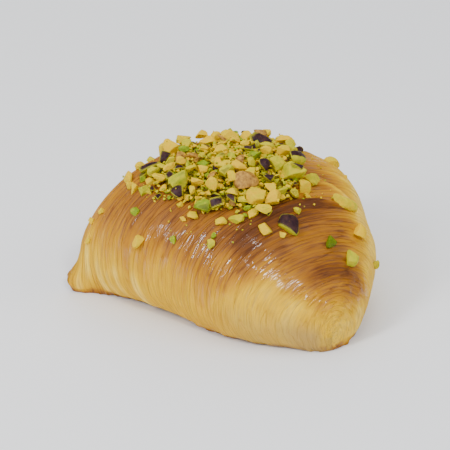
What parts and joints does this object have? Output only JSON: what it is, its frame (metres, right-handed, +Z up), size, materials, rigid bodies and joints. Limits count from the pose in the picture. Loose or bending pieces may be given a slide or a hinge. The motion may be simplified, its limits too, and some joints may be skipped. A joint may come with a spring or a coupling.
{
  "type": "sfogliatella pastry",
  "caption": "Bell-shaped laminated pastry on a flat base, with folded dough layers, a spiral nose, a pinched seam with two tails, and a low heap of chopped pistachios on its top.",
  "frame": {"origin": "bottom centre of the whole pastry's box, on the surface it rests on", "axes": "+Z up, -Y towards the spiral nose, +Y towards the pinched seam, X along the seam"},
  "size_m": [0.0994, 0.083, 0.0498],
  "materials": {
    "glazed_crust": "golden to amber-brown baked dough with fine rings and a thin sugar glaze",
    "pistachio": "dry chopped nuts, yellow to green with dark skins"
  },
  "bodies": {
    "root": {"pastry": "glazed_crust", "chopped_pistachios": "pistachio"}
  },
  "joints": []
}
